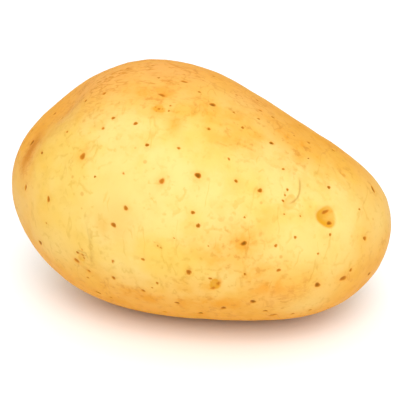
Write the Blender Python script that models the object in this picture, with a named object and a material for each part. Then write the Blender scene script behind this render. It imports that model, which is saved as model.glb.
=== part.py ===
"""One whole yellow table potato, lying on the flattened patch of skin it rests on.

Metres, +Z up. The stem end, where the tuber hung on its runner, is at -X, and the rose end, which
carries most of the eyes, is at +X. The origin is on the resting surface, under the middle of the
tuber's box. The tuber is one closed body: a sphere drawn out along X, given its section and its
bend by smooth curves from end to end, then dented, swollen and pressed flat underneath.
"""

from dataclasses import dataclass
from math import comb, exp

import bmesh
import bpy
from mathutils import Vector

# Driving dimensions. They are in millimetres, and MM turns them into Blender's metres.
MM = 0.001
LENGTH = 100.0
REST_DEPTH = 1.0

# Each curve runs from the stem end to the rose end through evenly spaced control values.
HALF_HEIGHT = (34.5, 36.5, 37.5, 26.5, 26.0, 31.5)
HALF_DEPTH = (36.5, 37.5, 38.0, 32.0, 32.0, 35.0)
LIFT = (5.0, -1.5, 8.5, 5.0, -7.0, -3.5)
ASIDE = (-2.0, 3.0, 2.0, -3.0, -2.0, 3.0)

# The sphere's subdivisions: 5 give 5,120 triangles, about 3.5 mm along an edge.
SPHERE_SUBDIVISIONS = 5

SKIN_COLOUR = (0.91, 0.58, 0.13, 1.0)
SKIN_ROUGHNESS = 0.45
SKIN_METALLIC = 0.0


@dataclass(frozen=True)
class Relief:
    """A swelling or, with a negative height, a hollow, in millimetres from the tuber's middle."""

    centre: tuple[float, float, float]
    spread: float
    height: float


RELIEF = {
    "valley_behind_stem_end": Relief(centre=(-36.0, -7.0, 26.0), spread=6.5, height=-3.0),
    "stem_hollow": Relief(centre=(-41.0, -13.0, 17.0), spread=4.5, height=-1.2),
    "shoulder": Relief(centre=(-14.0, -8.0, 32.0), spread=12.0, height=0.6),
    "slope_to_rose_end": Relief(centre=(24.0, 4.0, 22.0), spread=10.0, height=-0.5),
    "far_side_hollow": Relief(centre=(8.0, 31.0, 8.0), spread=14.0, height=-1.6),
    "far_side_swelling": Relief(centre=(-22.0, 30.0, 6.0), spread=11.0, height=1.4),
    "rose_end_swelling": Relief(centre=(30.0, 20.0, -12.0), spread=9.0, height=1.0),
    "underside_hollow": Relief(centre=(-27.0, 6.0, -22.0), spread=9.0, height=-1.0),
}


def clear_scene():
    """Remove every object that the open file holds."""
    for item in list(bpy.data.objects):
        bpy.data.objects.remove(item)


def along(controls, share):
    """Read a Bezier curve through its control values, at a share of the way from -X to +X."""
    order = len(controls) - 1
    return sum(
        comb(order, step) * share**step * (1.0 - share) ** (order - step) * control
        for step, control in enumerate(controls)
    )


def drawn_out(direction):
    """Take a point of the unit sphere to the smooth tuber, before its swellings and hollows."""
    share = (direction.x + 1.0) / 2.0
    return Vector(
        (
            direction.x * LENGTH / 2.0,
            along(ASIDE, share) + direction.y * along(HALF_DEPTH, share),
            along(LIFT, share) + direction.z * along(HALF_HEIGHT, share),
        )
    )


def relief_height(point):
    """Add up how far the swellings and hollows move a point of the tuber outwards."""
    return sum(
        relief.height * exp(-((point - Vector(relief.centre)).length_squared) / (2.0 * relief.spread**2))
        for relief in RELIEF.values()
    )


def shape_tuber(mesh):
    """Draw the sphere out into the tuber, with its swellings and hollows."""
    for vertex in mesh.verts:
        point = drawn_out(vertex.co)
        vertex.co = point + point.normalized() * relief_height(point)


def press_flat(mesh):
    """Press the lowest skin flat and stand the tuber on it, with the middle of its box over the origin."""
    rest_height = min(vertex.co.z for vertex in mesh.verts) + REST_DEPTH
    middle_x = (min(v.co.x for v in mesh.verts) + max(v.co.x for v in mesh.verts)) / 2.0
    middle_y = (min(v.co.y for v in mesh.verts) + max(v.co.y for v in mesh.verts)) / 2.0
    for vertex in mesh.verts:
        height = max(vertex.co.z - rest_height, 0.0)
        vertex.co = Vector((vertex.co.x - middle_x, vertex.co.y - middle_y, height))


def skin_material():
    """Make the plain yellow skin."""
    material = bpy.data.materials.new("yellow_skin")
    material.use_nodes = True
    surface = material.node_tree.nodes["Principled BSDF"]
    surface.inputs["Base Color"].default_value = SKIN_COLOUR
    surface.inputs["Roughness"].default_value = SKIN_ROUGHNESS
    surface.inputs["Metallic"].default_value = SKIN_METALLIC
    return material


def make_potato():
    """Model the tuber as one closed body."""
    mesh = bmesh.new()
    bmesh.ops.create_icosphere(mesh, subdivisions=SPHERE_SUBDIVISIONS, radius=1.0)
    shape_tuber(mesh)
    press_flat(mesh)
    bmesh.ops.scale(mesh, vec=Vector((MM, MM, MM)), verts=mesh.verts)
    bmesh.ops.recalc_face_normals(mesh, faces=mesh.faces)
    data = bpy.data.meshes.new("potato")
    mesh.to_mesh(data)
    mesh.free()
    data.shade_smooth()
    data.materials.append(skin_material())
    potato = bpy.data.objects.new("potato", data)
    bpy.context.collection.objects.link(potato)
    return potato


clear_scene()
make_potato()
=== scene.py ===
"""A whole yellow table potato: its skin with eyes, lenticels, flakes and stains, on a plain white floor.

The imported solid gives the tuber's size and form. The skin is modelled over it at half a millimetre: a
sphered cube is wrapped round the solid, cut finer where the marks are, then weight-painted and displaced
for every eye, scar and lenticel. The same marks are painted as attributes that the skin's colour reads.
"""

import logging
import math
from dataclasses import dataclass, field
from enum import Enum

import bpy
import numpy as np
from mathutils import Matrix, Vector
from mathutils.bvhtree import BVHTree


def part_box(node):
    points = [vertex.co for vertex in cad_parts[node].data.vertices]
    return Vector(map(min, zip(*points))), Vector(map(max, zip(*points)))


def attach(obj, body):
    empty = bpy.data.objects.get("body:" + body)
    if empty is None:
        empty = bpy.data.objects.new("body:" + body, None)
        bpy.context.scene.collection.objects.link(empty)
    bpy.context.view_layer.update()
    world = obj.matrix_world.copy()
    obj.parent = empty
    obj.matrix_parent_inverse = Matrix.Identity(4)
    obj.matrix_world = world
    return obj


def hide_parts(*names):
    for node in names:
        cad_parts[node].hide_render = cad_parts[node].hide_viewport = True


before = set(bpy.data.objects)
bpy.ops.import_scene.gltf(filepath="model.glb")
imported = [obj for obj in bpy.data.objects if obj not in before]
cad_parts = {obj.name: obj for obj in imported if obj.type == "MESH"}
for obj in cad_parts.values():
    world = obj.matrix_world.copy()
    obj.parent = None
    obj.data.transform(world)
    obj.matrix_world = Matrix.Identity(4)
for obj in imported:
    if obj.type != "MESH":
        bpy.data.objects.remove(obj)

LOG = logging.getLogger("potato")

MM = 0.001
NODE = "potato"
BODY = "root"

Colour = tuple[float, float, float]
Box = tuple[Vector, Vector]
Layers = dict[str, bpy.types.NodeSocket]

WHITE: Colour = (1.0, 1.0, 1.0)


class Paint(str, Enum):
    """The attributes that the skin's colour reads, one for each kind of mark."""

    CORK = "cork"
    # Painted shade along creases.
    CREASE = "crease"
    HALO = "halo"
    # Eye floors' stain, with painted shade in a darker ring at the edge of a recess.
    AMBER = "amber"
    RUSSET = "russet"
    # Paler skin, and painted highlights.
    PALE_AND_HIGHLIGHT = "pale"


class Relief(str, Enum):
    """The vertex groups that the skin's relief is displaced by."""

    HOLLOW = "hollow"
    BROW = "brow"
    FLAKE = "flake"
    RIM = "rim"
    PIT = "pit"


@dataclass(frozen=True)
class Place:
    """A place on the tuber, as a grower would point it out.

    Attributes:
        along: Millimetres from the tuber's middle towards the rose end.
        around: Degrees about the long axis: 0 on top, 90 on the near side, 180 underneath.
    """

    along: float
    around: float


@dataclass(frozen=True)
class Lenticel:
    """A breathing pore of the skin, plugged with brown cork.

    Attributes:
        place: Where it is.
        across: Width of the plug, in millimetres.
        dark: How dark the plug is, from 0 to 1.
        halo: How strongly the skin round it is stained, from 0 to 1.
        stretch: Length over width.
        turn: Degrees that the long side turns from the tuber's long axis.
    """

    place: Place
    across: float = 0.9
    dark: float = 0.7
    halo: float = 0.25
    stretch: float = 1.0
    turn: float = 0.0


@dataclass(frozen=True)
class Recess:
    """The shallow recess that a bud sits in, or the scar where one was.

    Attributes:
        place: Where its middle is.
        width: Width of the stained floor, in millimetres.
        depth: Depth, in millimetres.
        amber: How strongly the floor is stained, from 0 to 1.
        stretch: Length over width.
        turn: Degrees that the long side turns from the tuber's long axis.
        lean: Share of the width by which the stain sits off the recess, towards its brow.
        fade: How far the stain fades towards the rose end and the top, from 0 to 1, leaving painted shade on
            the other side.
    """

    place: Place
    width: float
    depth: float
    amber: float = 0.5
    stretch: float = 1.0
    turn: float = 0.0
    lean: float = 0.0
    fade: float = 0.0


@dataclass(frozen=True)
class Crease:
    """A curved line in the skin, such as the brow over an eye or the edge of a flake.

    Attributes:
        place: Where the middle of its circle is.
        radius: Radius of its circle, in millimetres.
        start: Degrees where it starts, counted from the rose end towards the top.
        sweep: Degrees that it runs.
        line: How strongly painted shade darkens its line, from 0 to 1.
        brow: Height of the ridge on it, in millimetres.
        breadth: Breadth of that ridge, in millimetres.
    """

    place: Place
    radius: float
    start: float
    sweep: float
    line: float = 0.4
    brow: float = 0.25
    breadth: float = 0.7


@dataclass(frozen=True)
class Patch:
    """A wide patch of skin that is stained, flaky or pale; some pale patches are painted highlights.

    Attributes:
        place: Where its middle is.
        length: Its reach along the tuber, in millimetres.
        width: Its reach round the tuber, in millimetres.
        strength: How strongly it is painted, from 0 to 1.
        paint: The attribute that it paints.
        turn: Degrees that its long side turns from the tuber's long axis.
    """

    place: Place
    length: float
    width: float
    strength: float
    paint: Paint
    turn: float = 0.0


Mark = Lenticel | Recess | Crease | Patch

# The pores that show best, placed one by one. The rest of the skin is sown with more of them.
PORES = (
    Lenticel(Place(-22, 57), across=1.9, dark=0.5, halo=0.8),
    Lenticel(Place(-1, 64), across=1.6, dark=0.5, halo=0.6),
    Lenticel(Place(7, 60), across=1.5, dark=0.95, halo=0.45),
    Lenticel(Place(-9, 76), across=1.3, dark=0.6, halo=0.55),
    Lenticel(Place(-12, 83.5), across=1.4, dark=0.7, halo=0.8),
    Lenticel(Place(7, 75), across=1.0, dark=0.75, halo=0.3),
    Lenticel(Place(8.5, 80), across=1.1, dark=0.8, halo=0.3),
    Lenticel(Place(-6, 50), across=1.0, dark=0.75),
    Lenticel(Place(1.5, 49.5), across=0.9, dark=0.5),
    Lenticel(Place(-10, 41), across=1.1, dark=0.65),
    Lenticel(Place(-16, 39), across=1.0, dark=0.6),
    Lenticel(Place(-18, 44), across=1.0, dark=0.4, halo=0.35, stretch=1.3, turn=30),
    Lenticel(Place(6, 21), across=1.5, dark=0.8, halo=0.75, stretch=1.3, turn=8),
    Lenticel(Place(7, 37), across=0.9, dark=0.65),
    Lenticel(Place(14, 28.5), across=0.9, dark=0.65),
    Lenticel(Place(21, 31), across=1.1, dark=0.95, halo=0.6),
    Lenticel(Place(11, 20), across=0.8, dark=0.5),
    Lenticel(Place(13, 50), across=0.9, dark=0.4, stretch=1.4, turn=-40),
    Lenticel(Place(15.5, 60), across=0.9, dark=0.7, stretch=1.1, turn=80),
    Lenticel(Place(21, 63), across=1.2, dark=0.7, halo=0.4),
    Lenticel(Place(25, 47.5), across=0.8, dark=0.5),
    Lenticel(Place(35.5, 52), across=1.0, dark=0.75, stretch=1.2),
    Lenticel(Place(37.5, 88), across=0.8, dark=0.65),
    Lenticel(Place(45, 104), across=1.3, dark=0.6, halo=0.9),
    Lenticel(Place(43, 70), across=0.7, dark=0.55),
    Lenticel(Place(45, -4), across=1.5, dark=0.85, halo=0.5, stretch=2.2, turn=-24),
    Lenticel(Place(30, 86), across=0.9, dark=0.5, stretch=1.2),
    Lenticel(Place(26, 89), across=0.9, dark=0.6),
    Lenticel(Place(19, 87), across=1.3, dark=1.0, halo=0.6, stretch=1.4, turn=20),
    Lenticel(Place(27, 101), across=1.1, dark=0.55, halo=0.5, stretch=1.2),
    Lenticel(Place(35.5, 116), across=1.6, dark=0.8, halo=0.6),
    Lenticel(Place(41, 122), across=1.9, dark=0.6, halo=0.7, stretch=1.3),
    Lenticel(Place(42.5, 120), across=1.0, dark=0.6, halo=0.5),
    Lenticel(Place(21, 117), across=1.4, dark=0.95, halo=0.85, stretch=1.3),
    Lenticel(Place(6.5, 100), across=1.5, dark=0.7, halo=0.55),
    Lenticel(Place(2.5, 119), across=1.1, dark=0.75, stretch=1.3),
    Lenticel(Place(-2, 131), across=1.2, dark=0.4, stretch=1.8),
    Lenticel(Place(-18.5, 3), across=1.0, dark=0.5, stretch=1.3),
    Lenticel(Place(-8.5, -5), across=1.3, dark=0.3, halo=0.5, stretch=1.4),
    Lenticel(Place(-1.5, 107), across=0.9, dark=0.65),
    Lenticel(Place(-3, 110), across=0.6, dark=0.6),
    Lenticel(Place(-5.5, 113), across=1.1, dark=0.6, halo=0.4),
    Lenticel(Place(-4.5, 96), across=1.0, dark=0.5, stretch=1.2),
    Lenticel(Place(-13, 109), across=1.2, dark=0.65, halo=0.45, stretch=1.1, turn=-30),
    Lenticel(Place(-19.5, 127), across=1.3, dark=0.75, stretch=1.7),
    Lenticel(Place(-16, 127), across=0.9, dark=0.5, stretch=1.6),
    Lenticel(Place(-20, 110), across=1.1, dark=0.45, halo=0.8, stretch=1.2),
    Lenticel(Place(-21, 115.5), across=0.9, dark=0.45, halo=0.3),
    Lenticel(Place(-31, 79), across=1.4, dark=0.6, halo=0.35, stretch=1.5, turn=80),
    Lenticel(Place(-39.5, 77), across=1.5, dark=0.55, stretch=1.9, turn=85),
    Lenticel(Place(-21, 24), across=1.0, dark=0.55, halo=0.3, stretch=1.2),
    Lenticel(Place(-26, 25.5), across=1.0, dark=0.6, halo=0.3, stretch=1.2),
    Lenticel(Place(-38, 13), across=1.2, dark=0.5, halo=0.5, stretch=1.4, turn=20),
    Lenticel(Place(-33.5, 27), across=1.0, dark=0.55, stretch=1.4, turn=35),
    Lenticel(Place(-28.5, 44), across=0.8, dark=0.4),
    Lenticel(Place(-6, 24), across=1.4, dark=0.6, halo=0.3, stretch=1.9, turn=-15),
    Lenticel(Place(-3, 29.5), across=0.6, dark=0.6),
    Lenticel(Place(-3, 32.5), across=0.6, dark=0.6),
    Lenticel(Place(-2.5, 10.5), across=1.4, dark=0.5, halo=0.4, stretch=1.8, turn=10),
    Lenticel(Place(2, 15), across=0.8, dark=0.6),
    Lenticel(Place(2.5, -8), across=1.0, dark=0.5, stretch=1.3),
    Lenticel(Place(16.5, 14), across=0.9, dark=0.55, stretch=1.2),
    Lenticel(Place(16, 3), across=1.2, dark=0.4, halo=0.8, stretch=1.4, turn=-20),
    Lenticel(Place(19, 1.5), across=0.9, dark=0.6, stretch=1.3),
    Lenticel(Place(14, -9), across=1.1, dark=0.5, stretch=1.6),
    Lenticel(Place(25, 9.5), across=0.6, dark=0.5),
    Lenticel(Place(28.5, 7), across=1.0, dark=0.5, halo=0.5, stretch=1.4, turn=-10),
    Lenticel(Place(34, -12), across=1.0, dark=0.5, stretch=1.3, turn=-20),
    Lenticel(Place(38, 28), across=1.3, dark=0.1, halo=0.7, stretch=1.6),
    Lenticel(Place(27, 74), across=0.5, dark=0.5),
    Lenticel(Place(30.5, 75), across=0.5, dark=0.5),
    Lenticel(Place(3, 85.5), across=0.5, dark=0.5),
    Lenticel(Place(11, 88), across=0.5, dark=0.5),
    Lenticel(Place(23.5, 126), across=1.1, dark=0.65, halo=0.5, stretch=1.3),
    Lenticel(Place(25, 132), across=1.6, dark=0.5, halo=0.8, stretch=1.9, turn=15),
    Lenticel(Place(29.5, 135), across=1.1, dark=0.55, halo=0.4, stretch=1.4),
    Lenticel(Place(33.5, 136), across=1.1, dark=0.4, halo=0.4, stretch=1.6),
)

# Buds, scars and the stem hollow on the near side, then those that only the other sides show.
RECESSES = (
    Recess(Place(36.1, 74.4), width=5.3, depth=0.75, amber=1.0, stretch=1.25, turn=25, lean=0.04, fade=0.42),
    Recess(Place(27.8, 67.5), width=3.4, depth=0.35, amber=0.4, stretch=1.4, turn=60),
    Recess(Place(12.5, 105.5), width=2.8, depth=0.3, amber=1.0, stretch=1.3, turn=65),
    Recess(Place(-5.5, 32.0), width=2.6, depth=0.25, amber=0.6, stretch=1.4),
    Recess(Place(-21.5, 103.0), width=2.4, depth=0.35, amber=0.55, stretch=1.3, turn=60),
    Recess(Place(-1.0, 89.0), width=1.8, depth=0.15, amber=0.25, stretch=1.4, turn=-20),
    Recess(Place(-42.0, 47.0), width=6.0, depth=0.2, amber=0.0, stretch=1.5, turn=75),
    Recess(Place(-41.0, 6.0), width=8.0, depth=0.25, amber=0.0, stretch=1.5, turn=90),
    Recess(Place(40.0, -118.0), width=4.0, depth=0.8, amber=0.8, stretch=1.4, turn=80),
    Recess(Place(36.0, -162.0), width=3.4, depth=0.6, amber=0.7, stretch=1.3, turn=-60),
    Recess(Place(33.0, -95.0), width=4.4, depth=0.8, amber=0.7, stretch=1.4, turn=75),
    Recess(Place(13.0, -48.0), width=4.2, depth=0.7, amber=0.6, stretch=1.5, turn=80),
    Recess(Place(4.0, -128.0), width=4.6, depth=0.7, amber=0.5, stretch=1.4, turn=-80),
    Recess(Place(23.0, 170.0), width=3.6, depth=0.5, amber=0.5, stretch=1.3, turn=70),
    Recess(Place(-24.0, -78.0), width=4.8, depth=0.8, amber=0.6, stretch=1.5, turn=85),
    Recess(Place(-30.0, 160.0), width=3.8, depth=0.6, amber=0.5, stretch=1.4, turn=-75),
)

CREASES = (
    Crease(Place(35.4, 74.0), radius=2.7, start=60, sweep=130, line=0.0, brow=0.22, breadth=0.9),
    Crease(Place(24.3, 56.5), radius=6.0, start=-54, sweep=90, line=0.75, brow=0.12, breadth=0.5),
    Crease(Place(-37.0, 97.0), radius=20.0, start=-22, sweep=44, line=0.3, brow=0.05, breadth=0.5),
    Crease(Place(-21.0, 102.0), radius=1.6, start=-30, sweep=200, line=0.5, brow=0.15, breadth=0.5),
    Crease(Place(38.8, -118.0), radius=2.8, start=90, sweep=180, line=0.9, brow=0.3, breadth=0.9),
    Crease(Place(35.0, -162.0), radius=2.4, start=110, sweep=150, line=0.8, brow=0.25, breadth=0.8),
    Crease(Place(31.8, -95.0), radius=3.1, start=100, sweep=160, line=0.9, brow=0.3, breadth=1.0),
    Crease(Place(11.8, -48.0), radius=3.0, start=105, sweep=150, line=0.9, brow=0.28, breadth=1.0),
    Crease(Place(2.7, -128.0), radius=3.3, start=100, sweep=160, line=0.8, brow=0.28, breadth=1.0),
    Crease(Place(22.0, 170.0), radius=2.5, start=110, sweep=140, line=0.7, brow=0.3, breadth=0.8),
    Crease(Place(-25.4, -78.0), radius=3.4, start=100, sweep=160, line=0.8, brow=0.3, breadth=1.1),
    Crease(Place(-31.0, 160.0), radius=2.7, start=110, sweep=140, line=0.7, brow=0.25, breadth=0.9),
)

# The small dark points inside and beside the eyes: bud tips, leaf scars and specks of scab.
BUDS = (
    Lenticel(Place(36.0, 72.2), across=1.55, dark=0.5, halo=1.0, stretch=2.8, turn=44),
    Lenticel(Place(37.1, 80.3), across=1.3, dark=0.75, halo=0.1, stretch=1.2, turn=20),
    Lenticel(Place(26.8, 60.4), across=0.8, dark=0.6, halo=0.1),
    Lenticel(Place(26.5, 63.8), across=0.75, dark=0.42, halo=0.1),
    Lenticel(Place(26.3, 67.0), across=0.8, dark=0.55, halo=0.1),
    Lenticel(Place(13.3, 105.4), across=1.4, dark=0.42, halo=0.9, stretch=2.4, turn=65),
    Lenticel(Place(12.0, 107.8), across=1.3, dark=0.4, halo=0.8, stretch=1.6, turn=10),
    Lenticel(Place(11.5, 102.5), across=0.8, dark=0.7, halo=0.5),
    Lenticel(Place(-5.5, 32.0), across=0.8, dark=0.45, halo=0.1),
    Lenticel(Place(-6.4, 31.5), across=0.5, dark=0.4, halo=0.1),
    Lenticel(Place(-4.7, 31.8), across=0.5, dark=0.35, halo=0.1),
    Lenticel(Place(-5.9, 33.6), across=0.4, dark=0.35, halo=0.1),
    Lenticel(Place(-22.5, 101.0), across=0.9, dark=0.8, halo=0.2),
    Lenticel(Place(-23.3, 106.3), across=1.7, dark=0.5, halo=0.7, stretch=1.3),
    Lenticel(Place(-21.2, 101.8), across=0.7, dark=0.65, halo=0.4),
    Lenticel(Place(-20.9, 103.2), across=0.6, dark=0.6, halo=0.3),
    Lenticel(Place(-20.4, 101.0), across=0.4, dark=0.55, halo=0.1),
    Lenticel(Place(-21.0, 98.5), across=0.9, dark=0.25, halo=0.2),
    Lenticel(Place(-1.8, 88.0), across=0.45, dark=0.45, halo=0.1),
    Lenticel(Place(-0.9, 89.4), across=0.5, dark=0.5, halo=0.1),
    Lenticel(Place(0.0, 90.0), across=0.4, dark=0.45, halo=0.1),
    Lenticel(Place(-0.2, 88.2), across=0.4, dark=0.4, halo=0.1),
    Lenticel(Place(-41.7, 41.5), across=1.3, dark=0.95, halo=0.8, stretch=2.2, turn=55),
    Lenticel(Place(40.2, -118.0), across=1.3, dark=0.55, halo=0.4, stretch=2.2, turn=80),
    Lenticel(Place(36.2, -162.0), across=1.1, dark=0.55, halo=0.4, stretch=2.0, turn=-70),
    Lenticel(Place(33.2, -95.0), across=1.3, dark=0.6, halo=0.4, stretch=2.3, turn=75),
    Lenticel(Place(33.8, -91.0), across=0.7, dark=0.6, halo=0.2),
    Lenticel(Place(13.1, -48.0), across=1.3, dark=0.55, halo=0.4, stretch=2.4, turn=80),
    Lenticel(Place(13.9, -43.5), across=0.7, dark=0.6, halo=0.2),
    Lenticel(Place(4.2, -128.0), across=1.2, dark=0.55, halo=0.4, stretch=2.3, turn=-80),
    Lenticel(Place(23.2, 170.0), across=1.1, dark=0.5, halo=0.3, stretch=2.0, turn=70),
    Lenticel(Place(-23.8, -78.0), across=1.4, dark=0.6, halo=0.4, stretch=2.4, turn=85),
    Lenticel(Place(-22.9, -74.5), across=0.8, dark=0.6, halo=0.2),
    Lenticel(Place(-29.8, 160.0), across=1.2, dark=0.5, halo=0.3, stretch=2.1, turn=-75),
)

# Wide patches: russet flakes on the shoulder, stains round the ends and belly, paler skin, and painted
# highlights on the near cheek.
PATCHES = (
    Patch(Place(-24.0, 8.0), length=16.0, width=11.0, strength=1.0, paint=Paint.RUSSET),
    Patch(Place(-8.0, 2.0), length=14.0, width=11.0, strength=1.0, paint=Paint.RUSSET),
    Patch(Place(12.0, -2.0), length=11.0, width=8.0, strength=0.6, paint=Paint.RUSSET),
    Patch(Place(-16.0, -25.0), length=20.0, width=11.0, strength=0.6, paint=Paint.RUSSET),
    Patch(Place(8.0, -75.0), length=16.0, width=12.0, strength=0.5, paint=Paint.RUSSET),
    Patch(Place(24.0, 172.0), length=12.0, width=8.0, strength=0.5, paint=Paint.RUSSET),
    Patch(Place(27.0, 116.0), length=9.0, width=4.5, strength=0.4, paint=Paint.RUSSET),
    Patch(Place(-41.0, 52.0), length=3.2, width=7.5, strength=0.9, paint=Paint.RUSSET),
    Patch(Place(-40.9, 50.0), length=2.6, width=6.5, strength=0.3, paint=Paint.CORK, turn=-15),
    Patch(Place(-40.6, 51.0), length=3.6, width=8.0, strength=0.3, paint=Paint.AMBER, turn=-15),
    Patch(Place(-34.0, 22.0), length=12.0, width=5.0, strength=0.7, paint=Paint.HALO),
    Patch(Place(-40.3, 49.0), length=5.0, width=11.0, strength=1.0, paint=Paint.HALO, turn=-15),
    Patch(Place(26.0, 15.0), length=12.0, width=8.0, strength=1.0, paint=Paint.HALO),
    Patch(Place(25.5, 106.0), length=11.0, width=7.0, strength=0.8, paint=Paint.HALO),
    Patch(Place(18.0, 91.0), length=8.0, width=7.0, strength=0.85, paint=Paint.HALO),
    Patch(Place(-6.0, 118.0), length=12.0, width=5.0, strength=0.8, paint=Paint.HALO),
    Patch(Place(12.0, 119.0), length=16.0, width=5.0, strength=0.8, paint=Paint.HALO),
    Patch(Place(-8.0, 25.0), length=9.0, width=6.0, strength=0.85, paint=Paint.HALO),
    Patch(Place(-22.0, 33.0), length=8.0, width=5.0, strength=0.35, paint=Paint.HALO),
    Patch(Place(4.0, 25.0), length=9.0, width=5.0, strength=0.6, paint=Paint.HALO),
    Patch(Place(14.0, 31.0), length=8.0, width=8.0, strength=0.7, paint=Paint.HALO),
    Patch(Place(-5.7, 32.5), length=2.4, width=1.8, strength=1.0, paint=Paint.HALO),
    Patch(Place(-0.5, 38.5), length=1.8, width=3.0, strength=0.6, paint=Paint.AMBER),
    Patch(Place(-14.8, 84.5), length=1.7, width=2.6, strength=0.45, paint=Paint.AMBER),
    Patch(Place(-11.0, 80.0), length=5.0, width=5.0, strength=0.25, paint=Paint.AMBER),
    Patch(Place(9.0, 108.0), length=10.0, width=5.0, strength=0.5, paint=Paint.HALO),
    Patch(Place(-12.0, 112.0), length=12.0, width=6.0, strength=0.4, paint=Paint.HALO),
    Patch(Place(45.5, 104.0), length=4.0, width=7.0, strength=0.45, paint=Paint.HALO),
    Patch(Place(-13.0, 84.0), length=6.0, width=4.0, strength=0.4, paint=Paint.HALO),
    Patch(Place(-22.0, 20.0), length=18.0, width=6.0, strength=0.35, paint=Paint.HALO),
    Patch(Place(-44.0, -120.0), length=6.0, width=9.0, strength=0.6, paint=Paint.HALO),
    Patch(Place(12.0, -100.0), length=14.0, width=8.0, strength=0.5, paint=Paint.HALO),
    Patch(Place(44.0, -110.0), length=6.0, width=8.0, strength=0.5, paint=Paint.HALO),
    Patch(Place(-14.0, -150.0), length=14.0, width=9.0, strength=0.45, paint=Paint.HALO),
    # Pale patches: paler skin, and at (-13, 74), (32, 92) and (47.5, 100) painted highlights on the near
    # cheek.
    Patch(Place(24.0, 60.0), length=3.6, width=3.4, strength=0.8, paint=Paint.PALE_AND_HIGHLIGHT),
    Patch(Place(-12.0, 99.0), length=5.0, width=6.5, strength=0.4, paint=Paint.PALE_AND_HIGHLIGHT),
    Patch(Place(-13.0, 74.0), length=10.0, width=10.0, strength=1.0, paint=Paint.PALE_AND_HIGHLIGHT),
    Patch(Place(32.0, 92.0), length=9.0, width=6.0, strength=1.0, paint=Paint.PALE_AND_HIGHLIGHT),
    Patch(Place(33.0, 128.0), length=7.0, width=5.0, strength=0.6, paint=Paint.PALE_AND_HIGHLIGHT),
    Patch(Place(47.5, 100.0), length=6.0, width=9.0, strength=0.7, paint=Paint.PALE_AND_HIGHLIGHT),
    Patch(Place(48.0, -60.0), length=9.0, width=12.0, strength=0.6, paint=Paint.PALE_AND_HIGHLIGHT),
    Patch(Place(-30.0, 104.0), length=10.0, width=6.0, strength=0.6, paint=Paint.PALE_AND_HIGHLIGHT),
    Patch(Place(-43.0, 90.0), length=6.0, width=12.0, strength=0.4, paint=Paint.PALE_AND_HIGHLIGHT),
    Patch(Place(41.0, 82.0), length=9.0, width=8.0, strength=0.35, paint=Paint.PALE_AND_HIGHLIGHT),
    Patch(Place(3.0, 70.0), length=16.0, width=9.0, strength=0.3, paint=Paint.PALE_AND_HIGHLIGHT),
)


@dataclass(frozen=True)
class Sowing:
    """The pores that cover the rest of the skin, sown by a seeded draw.

    Attributes:
        seed: Seed of the draw.
        pores: How many pores are sown.
        spacing: Least distance between two pores, in millimetres.
        smallest: Width of the smallest pore, in millimetres.
        largest: Width of the largest, in millimetres.
        palest: How dark the palest is, from 0 to 1.
        darkest: How dark the darkest is.
        longest: Largest length over width.
    """

    seed: int = 29
    pores: int = 120
    spacing: float = 5.5
    smallest: float = 0.5
    largest: float = 1.5
    palest: float = 0.35
    darkest: float = 0.95
    longest: float = 2.0


def choose(piece: bpy.types.Object) -> None:
    """Deselect everything and make one piece the active selection.

    Args:
        piece: The piece that the next operator works on.
    """
    bpy.ops.object.select_all(action="DESELECT")
    piece.select_set(True)
    bpy.context.view_layer.objects.active = piece


def finish_with(piece: bpy.types.Object, kind: str, **settings: object) -> None:
    """Put a modifier on a piece and apply it.

    Args:
        piece: The piece.
        kind: The modifier's type.
        **settings: The modifier's settings.
    """
    choose(piece)
    modifier = piece.modifiers.new(kind.lower(), kind)
    for name, value in settings.items():
        setattr(modifier, name, value)
    bpy.ops.object.modifier_apply(modifier=modifier.name)


def smoothstep(low: float, high: float, value: np.ndarray) -> np.ndarray:
    """Rise smoothly from 0 at low to 1 at high, or fall where high is under low."""
    share = np.clip((value - low) / (high - low), 0.0, 1.0)
    return share * share * (3.0 - 2.0 * share)


def vertex_places(mesh: bpy.types.Mesh) -> np.ndarray:
    """Read a mesh's vertices as rows of x, y and z in metres."""
    places = np.empty(len(mesh.vertices) * 3)
    mesh.vertices.foreach_get("co", places)
    return places.reshape(-1, 3)


@dataclass(frozen=True)
class Footing:
    """Where a mark stands on the skin.

    Attributes:
        centre: The point of the skin, in metres.
        ahead: The direction along the skin towards the rose end.
        up: The direction along the skin that lies across it, towards the top on the near side.
    """

    centre: np.ndarray
    ahead: np.ndarray
    up: np.ndarray


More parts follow.
